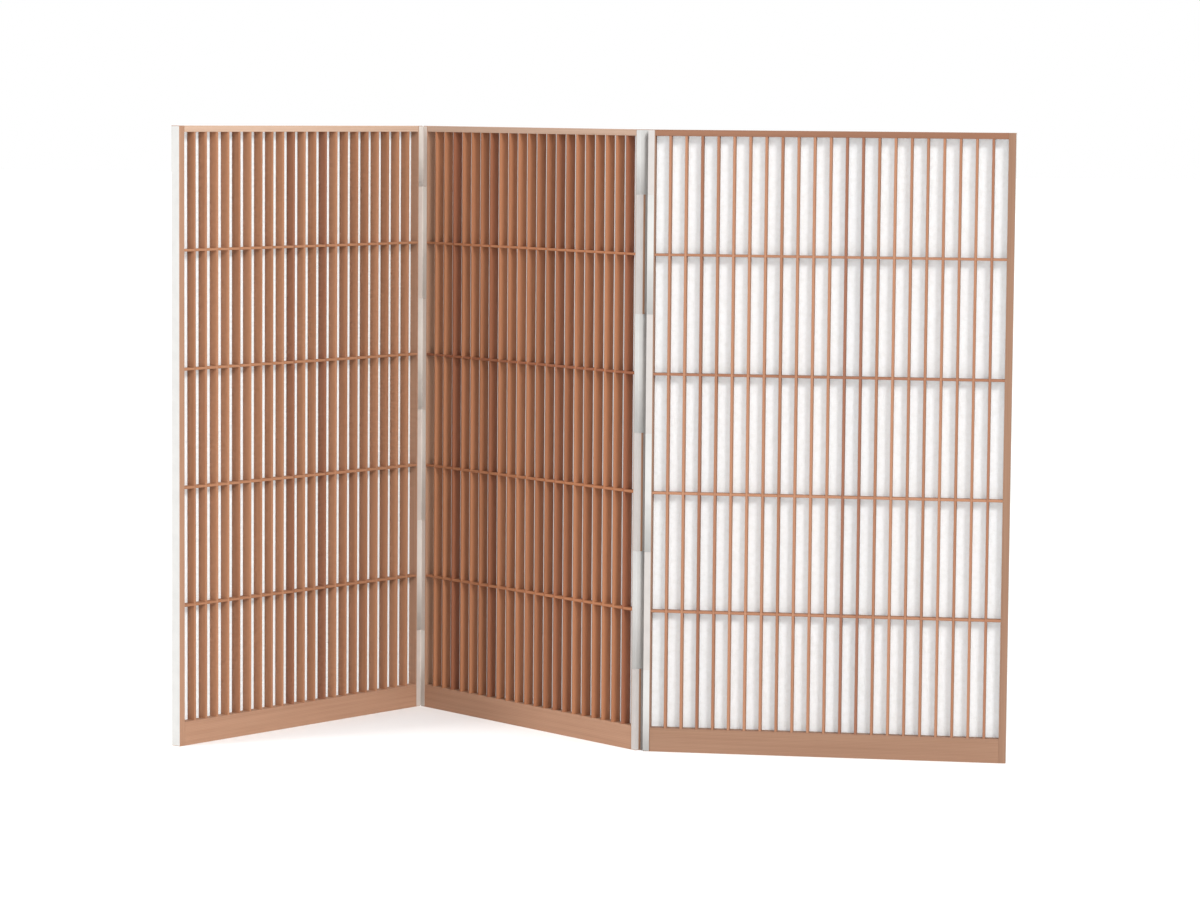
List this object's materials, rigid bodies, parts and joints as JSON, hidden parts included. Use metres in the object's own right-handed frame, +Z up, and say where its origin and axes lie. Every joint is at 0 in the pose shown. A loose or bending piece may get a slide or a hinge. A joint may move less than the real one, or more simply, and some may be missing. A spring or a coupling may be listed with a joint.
{
  "type": "folding shoji screen",
  "caption": "Low free-standing folding screen: slim cedar frames with a fine upright lattice over white paper, joined by paper hinge bands that fold both ways.",
  "frame": {"origin": "middle of the footprint's bounding box, on the floor", "axes": "+X along the folded screen, +Y away from its lattice side, +Z up"},
  "size_m": [1.6089, 0.6761, 1.2],
  "materials": {
    "cedar_frame": "matte",
    "cedar_lattice": "matte",
    "shoji_paper": "matte",
    "hinge_paper": "matte",
    "facing_paper": "matte"
  },
  "bodies": {
    "middle_panel": {"middle_panel_left_stile": "cedar_frame", "middle_panel_right_stile": "cedar_frame", "middle_panel_top_rail": "cedar_frame", "middle_panel_bottom_rail": "cedar_frame", "middle_panel_slats": "cedar_lattice", "middle_panel_sheet": "shoji_paper", "middle_panel_crossbar_1": "cedar_lattice", "middle_panel_crossbar_2": "cedar_lattice", "middle_panel_crossbar_3": "cedar_lattice", "middle_panel_crossbar_4": "cedar_lattice", "middle_panel_left_facing": "facing_paper", "middle_panel_right_facing": "facing_paper", "left_fold_band_1_far_leaf": "hinge_paper", "left_fold_band_2_far_leaf": "hinge_paper", "left_fold_band_3_far_leaf": "hinge_paper", "left_fold_band_4_far_leaf": "hinge_paper", "left_fold_band_5_far_leaf": "hinge_paper", "left_fold_band_6_far_leaf": "hinge_paper", "right_fold_band_1_near_leaf": "hinge_paper", "right_fold_band_2_near_leaf": "hinge_paper", "right_fold_band_3_near_leaf": "hinge_paper", "right_fold_band_4_near_leaf": "hinge_paper", "right_fold_band_5_near_leaf": "hinge_paper", "right_fold_band_6_near_leaf": "hinge_paper"},
    "left_panel": {"left_panel_left_stile": "cedar_frame", "left_panel_right_stile": "cedar_frame", "left_panel_top_rail": "cedar_frame", "left_panel_bottom_rail": "cedar_frame", "left_panel_slats": "cedar_lattice", "left_panel_sheet": "shoji_paper", "left_panel_crossbar_1": "cedar_lattice", "left_panel_crossbar_2": "cedar_lattice", "left_panel_crossbar_3": "cedar_lattice", "left_panel_crossbar_4": "cedar_lattice", "left_panel_facing": "facing_paper", "left_end_lining": "facing_paper", "left_fold_band_1_near_leaf": "hinge_paper", "left_fold_band_2_near_leaf": "hinge_paper", "left_fold_band_3_near_leaf": "hinge_paper", "left_fold_band_4_near_leaf": "hinge_paper", "left_fold_band_5_near_leaf": "hinge_paper", "left_fold_band_6_near_leaf": "hinge_paper"},
    "right_panel": {"right_panel_left_stile": "cedar_frame", "right_panel_right_stile": "cedar_frame", "right_panel_top_rail": "cedar_frame", "right_panel_bottom_rail": "cedar_frame", "right_panel_slats": "cedar_lattice", "right_panel_sheet": "shoji_paper", "right_panel_crossbar_1": "cedar_lattice", "right_panel_crossbar_2": "cedar_lattice", "right_panel_crossbar_3": "cedar_lattice", "right_panel_crossbar_4": "cedar_lattice", "right_panel_facing": "facing_paper", "right_end_lining": "facing_paper", "right_fold_band_1_far_leaf": "hinge_paper", "right_fold_band_2_far_leaf": "hinge_paper", "right_fold_band_3_far_leaf": "hinge_paper", "right_fold_band_4_far_leaf": "hinge_paper", "right_fold_band_5_far_leaf": "hinge_paper", "right_fold_band_6_far_leaf": "hinge_paper"}
  },
  "joints": [
    {"name": "left_fold", "type": "hinge", "parent": "middle_panel", "child": "left_panel", "pos_m": [-0.34641, 0.32399, 0], "axis": [0, 0, 1], "range_deg": [-102, 78]},
    {"name": "right_fold", "type": "hinge", "parent": "middle_panel", "child": "right_panel", "pos_m": [0.11251, -0.20666, 0], "axis": [0, 0, 1], "range_deg": [-42, 138]}
  ]
}
